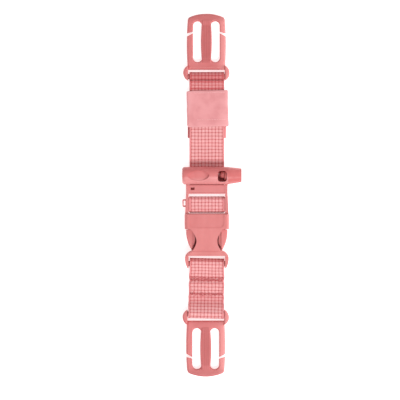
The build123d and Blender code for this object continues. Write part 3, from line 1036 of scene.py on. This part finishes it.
@dataclass
class LowerStrap(Strap):
    """The lower webbing, sewn with two bar tacks, between the female buckle and the lower clip."""

    radius: float = 3.1 * MM
    roomy: float = 3.6 * MM
    turn: float = math.radians(-1.2)
    tail_end: float = -33.7 * MM
    front_span: Point = (-29.5 * MM, -33.0 * MM)
    back_span: Point = (-44.0 * MM, -47.5 * MM)
    sewn_end: float = -27.4 * MM
    flat_length: float = 102 * MM
    top_rows: tuple[float, ...] = (-30.6, -31.7, -32.7)
    middle_rows: tuple[float, ...] = (-41.9, -42.9)
    row_half: float = 11.2
    row_stitches: int = 17
    seed: int = 11
    body = "lower_strap"

    def path(self, frame: dict) -> np.ndarray:
        """The webbing's centreline, from the tail on top to the end sewn between."""
        end_bar = joint_place(frame, "lower_strap_fold")[1:]
        clip_bar = joint_place(frame, "lower_clip_tilt")[1:]
        low = end_bar[1] - self.radius
        middle, top = low + self.ply, low + 2 * self.ply
        first, second = (self.front_span[0], top), (self.front_span[1], low)
        third, fourth = (self.back_span[0], low), (self.back_span[1], middle)
        corners = [(self.tail_end, top), first]
        corners += loop_corners(first, end_bar, self.roomy, second, 1)
        corners += loop_corners(third, clip_bar, self.radius, fourth, -1)
        corners += [fourth, (self.sewn_end, middle)]
        loops = [self.hug * self.roomy] * 2 + [self.hug * self.radius] * 2
        return rounded_path(corners, [self.bend] + loops + [self.bend], self.tape.pitch / 6)

    def tone(self, path: np.ndarray) -> np.ndarray:
        """Painted shade along the seams, on the slope from the lower seam to the clip's bar, and
        where the strap turns over the buckle's end bar.
        """
        y = path[:, 0] / MM
        slope = 0.3 * ramp(y, -52.5, 2) * ramp(-y, 43.4, 1.5)
        seams = 0.35 * (swell(y, -31.8, 1.6) + swell(y, -42.4, 0.9))
        return np.clip(slope + seams + 0.3 * ramp(y, -19.6, 0.8), 0, 0.8)

    def spread(self, path: np.ndarray) -> np.ndarray:
        """Draws the edges in a little at the seams and lets them swell between."""
        y = path[:, 0] / MM
        seams = swell(y, -32.8, 1.3) + swell(y, -42.6, 1.2)
        return 1 + 0.028 * ramp(-y, 27.0, 3) + 0.01 * np.sin(y * 0.83) - 0.03 * seams

    def tack(self, top: float) -> bpy.types.Object:
        """Both bar tacks, on the top ply and on the one below it.

        Args:
            top: The top ply's upper face.

        Returns:
            The rows of stitches.
        """
        spots, headings = [], []
        chance = np.random.default_rng(self.seed)
        rows = [(y, top) for y in self.top_rows] + [(y, top - self.ply) for y in self.middle_rows]
        for y, height in rows:
            for n, x in enumerate(np.linspace(-self.row_half, self.row_half, self.row_stitches)):
                shift = chance.normal(0, 0.28, 2)
                spots.append(((x + shift[0]) * MM, (y + shift[1]) * MM, height - 0.02 * MM))
                headings.append((0.55 if n % 2 else -0.55) + chance.normal(0, 0.2))
        threads = Stitching(self.trees, 1.7 * MM, 0.34 * MM)
        return threads.build("lower_bar_tacks", spots, headings)

    def build(self, frame: dict) -> None:
        """Builds the webbing and both bar tacks, turned a little about Z as the strap lies."""
        strip = self.weave(
            "lower_webbing", self.tape, self.path(frame), spread=self.spread, tone=self.tone
        )
        bar = joint_place(frame, "lower_strap_fold")
        place = Matrix.Translation((0.15 * MM, bar[1], 0.0)) @ Matrix.Rotation(self.turn, 4, "Z")
        place @= Matrix.Translation((0.0, -bar[1], 0.0))
        strip.data.transform(place)
        self.fit(strip, "lower_web", "webbing")
        tacks = self.tack(bar[2] - self.radius + 2 * self.ply + self.tape.thickness / 2)
        tacks.data.transform(place)
        self.fit(tacks, "lower_web_stitching", "thread")


@dataclass
class WhistleHalf(Piecework):
    """The male half: the webbing sleeve round its wide bar, and its plastic pieces."""

    tape: Tape = field(default_factory=lambda: Tape(width=26.2 * MM))
    mouth_corner: float = 1.4 * MM
    far_corner: float = 0.9 * MM
    flat_length: float = 29 * MM
    body = "whistle_half"

    def spread(self, path: np.ndarray) -> np.ndarray:
        """Rounds the sleeve's two corners by the buckle's mouth, and the other two slightly."""
        low, high = path[:, 0].min(), path[:, 0].max()
        wide = np.ones(len(path))
        gaps = (path[:, 0] - low, high - path[:, 0])
        for gap, radius in zip(gaps, (self.mouth_corner, self.far_corner)):
            inside = np.clip(radius - gap, 0, radius)
            wide -= (radius - np.sqrt(radius ** 2 - inside ** 2)) / (self.tape.width / 2)
        return wide

    def hem(self, path: np.ndarray) -> np.ndarray:
        """Flattens the weave on the turned edge by the buckle's mouth."""
        gap = path[:, 0] - path[:, 0].min()
        return 0.35 + 0.65 * np.clip(gap / (1.6 * MM) - 0.35, 0, 1)

    def path(self) -> np.ndarray:
        """The sleeve's centreline, once round the bar from underneath."""
        low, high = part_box("bar_sleeve")
        inset = self.tape.thickness / 2
        back, front = low[1] + inset - 0.2 * MM, high[1] - inset + 0.35 * MM
        bottom, top = low[2] + inset, high[2] - inset
        radius = (top - bottom) / 2 * 0.98
        middle = (back + front) / 2
        corners = [(middle + 2.6 * MM, bottom), (back, bottom), (back, top)]
        corners += [(front, top), (front, bottom), (middle + 2.9 * MM, bottom)]
        return rounded_path(corners, [radius] * 4, self.tape.pitch / 6)

    def build(self, frame: dict) -> None:
        """Builds the sleeve and dresses the mouldings."""
        sleeve = self.weave(
            "bar_sleeve_webbing", self.tape, self.path(), spread=self.spread, flat=self.hem
        )
        self.fit(sleeve, "bar_sleeve", "webbing")
        for node in ("left_prong", "right_prong"):
            dress_node(frame, node, Palette.body)
        for node in ("whistle_frame", "whistle_end_cap"):
            dress_node(frame, node, Palette.whistle)
        dress_node(frame, "whistle_mouthpiece", Palette.polished)


@dataclass
class Keeper(Piecework):
    """The soft elastic band that holds the layers together, and its stitching."""

    wall: float = 0.8 * MM
    corner: float = 1.3 * MM
    half: float = 14.9 * MM
    length: float = 25.9 * MM
    middle_x: float = 0.5 * MM
    turn: float = math.radians(1.2)
    slices: int = 60
    around: int = 120
    flat_length: float = 66.4 * MM
    flap_tape: Tape = field(default_factory=lambda: Tape(27.8 * MM, 0.75 * MM, relief=0.12 * MM))
    flap_length: float = 12 * MM
    body = "keeper"

    def outline(self, half: float, low: float, high: float, power: float) -> np.ndarray:
        """A rounded rectangle in XZ, anticlockwise as seen from its -Y side.

        Args:
            half: Half its width.
            low: Its lowest Z.
            high: Its highest Z.
            power: How sharply it turns from its sides to its faces; less is sharper.

        Returns:
            The points, the same number whatever the size.
        """
        angles = np.linspace(0, 2 * math.pi, self.around, endpoint=False)
        x = half * np.sign(np.cos(angles)) * np.abs(np.cos(angles)) ** 0.16
        rise = np.sign(np.sin(angles)) * np.abs(np.sin(angles)) ** power
        return np.stack([x, (low + high) / 2 + (high - low) / 2 * rise], axis=1)

    def ring(
        self, shape: np.ndarray, share: float, y: float, faces: Point, outside: bool
    ) -> np.ndarray:
        """One slice of the band's skin, soft and a little uneven on its front.

        Args:
            shape: The slice's outline.
            share: How far along the band it is, 0 at the front end and 1 at the top.
            y: Its place.
            faces: The band's middle and highest Z.
            outside: Whether it belongs to the outer face.

        Returns:
            The slice's points.
        """
        rim = min(share, 1 - share)
        middle_z, top_z = faces
        upper = np.clip((shape[:, 1] - middle_z) / (top_z - middle_z), 0, 1)
        points = np.zeros((len(shape), 3))
        across = shape[:, 0] / self.half
        flare = 0.9 * MM * (share - 0.55) ** 2 * (shape[:, 0] > 0)
        points[:, 0] = shape[:, 0] + flare
        points[:, 1] = y + 0.22 * MM * np.sin(across * 2.2 + share * 3) * upper
        points[:, 1] += 0.026 * shape[:, 0] * (share - 0.2)
        points[:, 2] = shape[:, 1]
        if outside:
            pinch = 0.35 * MM * math.exp(-rim / 0.02)
            wave = 0.16 * MM * math.sin(share * 17.5) * math.sin(share * math.pi)
            gap = min(rim * self.length, self.corner)
            tuck = 0.5 * (self.corner - math.sqrt(self.corner ** 2 - (self.corner - gap) ** 2))
            ripple = 0.09 * MM * np.sin(across * 7 + share * 5.5) * upper
            points[:, 0] += (wave * 0.6 - tuck) * np.sign(shape[:, 0])
            points[:, 2] -= (pinch + ripple + 0.1 * MM) * upper
        return points

    def band(self, low: Vector, high: Vector, front_end: float, top_y: float) -> bpy.types.Object:
        """The band: an outer and an inner face, joined at both ends.

        Args:
            low: The lowest corner of the frame's keeper.
            high: Its highest corner.
            front_end: The front's end nearer the whistle, in Y.
            top_y: The front's other end.

        Returns:
            The band, before it is turned and moved to its place.
        """
        wall, faces = self.wall, ((low[2] + high[2]) / 2, high[2])
        outer = self.outline(self.half, low[2], high[2], 0.34)
        inner = self.outline(self.half - wall, low[2] + wall, high[2] - wall, 0.26)
        stops = np.linspace(0, 1, self.slices)
        rings, along, edge = [], [], []
        for shape, shares in ((outer, stops), (inner, stops[::-1])):
            for share in shares:
                y = front_end + (top_y - front_end) * share
                rings.append(self.ring(shape, share, y, faces, shape is outer))
                along += [y] * self.around
                edge += [math.exp(-min(share, 1 - share) / 0.025)] * self.around
        vertices = np.concatenate(rings)
        tube = tube_faces(len(rings) + 1, self.around, capped=False)
        closed = [tuple(v % len(vertices) for v in reversed(face)) for face in tube]
        return make_piece("keeper_band", vertices, closed, {"along": along, "edge": edge})

    def flap(self, low: Vector) -> bpy.types.Object:
        """The back panel, a thinner woven tape whose end shows below the front."""
        tape = self.flap_tape
        height = low[2] + tape.thickness / 2
        ends = [(low[1] + self.flap_length, height), (low[1], height)]
        return self.weave("keeper_flap", tape, rounded_path(ends, [], tape.pitch / 6))

    def build(self, frame: dict) -> None:
        """Builds the band, its back flap and two rows of stitches."""
        low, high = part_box("web_keeper")
        top_y = high[1] - 0.3 * MM
        front_end = top_y - self.length
        middle = (top_y + front_end) / 2
        band = self.band(low, high, front_end, top_y)
        flap = self.flap(low)
        place = Matrix.Translation((self.middle_x, middle, 0)) @ Matrix.Rotation(self.turn, 4, "Z")
        place @= Matrix.Translation((0, -middle, 0))
        band.data.transform(place)
        band.data.materials.append(Palette.elastic.material())
        for piece in (band, flap):
            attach(piece, self.body)
            LOG.info("%s: on %s", piece.name, self.body)
        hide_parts("web_keeper")
        self.stitch(place, front_end, top_y, high[2])

    def stitch(self, place: Matrix, front_end: float, top_y: float, top_z: float) -> None:
        """Two rows of short stitches across the band, near its ends."""
        rows = ((front_end + 5.0 * MM, -7.0, 12), (top_y - 1.6 * MM, -9.0, 14))
        height = top_z - 0.16 * MM
        spots = [(x * MM, y, height) for y, start, n in rows for x in np.linspace(start, 12.0, n)]
        threads = Stitching(self.trees, 1.35 * MM, 0.24 * MM, Palette.hem_thread)
        stitches = threads.build("keeper_stitches", spots, [0.0] * len(spots))
        stitches.data.transform(place)
        self.fit(stitches, "keeper_stitching", "thread")


class Mouldings:
    """The plastic pieces that stand alone: the female half and both clips."""

    def build(self, frame: dict) -> None:
        """Dresses them."""
        dress_node(frame, "buckle_socket", Palette.panel)
        for node in ("upper_clip", "lower_clip"):
            dress_node(frame, node, Palette.clip(node))


# Studio

@dataclass
class Studio:
    """Pale floor, soft light and a camera straight above."""

    span: float = 0.2873
    lens: float = 180.0
    sensor: float = 36.0
    centre: Point = (-4.9 * MM, 25.2 * MM)
    reference_z: float = 3.0 * MM
    floor_reach: float = 1.5
    floor_gap: float = 0.05 * MM
    air_strength: float = 0.52
    lamps: tuple = (("key", (0.5, -1.25, 2.2), 0.6, 36.5), ("side", (1.5, 0.3, 0.7), 0.6, 11.0))

    def floor(self) -> None:
        """A wide floor just under the strap."""
        signs = ((-1, -1), (1, -1), (1, 1), (-1, 1))
        corners = [(x * self.floor_reach, y * self.floor_reach, -self.floor_gap) for x, y in signs]
        floor = make_piece("floor", np.array(corners), [(0, 1, 2, 3)])
        floor.data.materials.append(Palette.floor.material())

    def lamp(self, name: str, place: Colour, size: float, power: float) -> None:
        """A square soft light that faces the strap.

        Args:
            name: The lamp's name.
            place: Where it stands, in metres.
            size: Its side.
            power: Its power in watts.
        """
        light = bpy.data.lights.new(name, "AREA")
        light.shape, light.size, light.energy = "SQUARE", size, power
        lamp = bpy.data.objects.new(name, light)
        lamp.location = place
        aim = Vector((0.0, self.centre[1], 0.0)) - Vector(place)
        lamp.rotation_euler = aim.to_track_quat("-Z", "Y").to_euler()
        bpy.context.scene.collection.objects.link(lamp)

    def camera(self) -> None:
        """The camera, looking straight down with +Y up."""
        data = bpy.data.cameras.new("camera")
        data.lens, data.sensor_width = self.lens, self.sensor
        camera = bpy.data.objects.new("camera", data)
        distance = self.span * self.lens / self.sensor
        camera.location = (*self.centre, self.reference_z + distance)
        bpy.context.scene.collection.objects.link(camera)
        bpy.context.scene.camera = camera

    def build(self) -> None:
        """Sets up the whole studio."""
        self.floor()
        self.camera()
        world = bpy.data.worlds.new("studio_air")
        world.use_nodes = True
        backdrop = world.node_tree.nodes["Background"]
        backdrop.inputs["Color"].default_value = (1.0, 1.0, 1.0, 1.0)
        backdrop.inputs["Strength"].default_value = self.air_strength
        bpy.context.scene.world = world
        for lamp in self.lamps:
            self.lamp(*lamp)
        bpy.context.scene.view_settings.view_transform = "Standard"


def main() -> None:
    """Builds every sub-assembly in order."""
    logging.basicConfig(level=logging.INFO, format="%(message)s")
    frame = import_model()
    trees = {rule: RuleTree(rule) for rule in Rule}
    for assembly in (UpperStrap, LowerStrap, WhistleHalf, Keeper):
        assembly(trees).build(frame)
    Mouldings().build(frame)
    Studio().build()


if __name__ == "__main__":
    main()
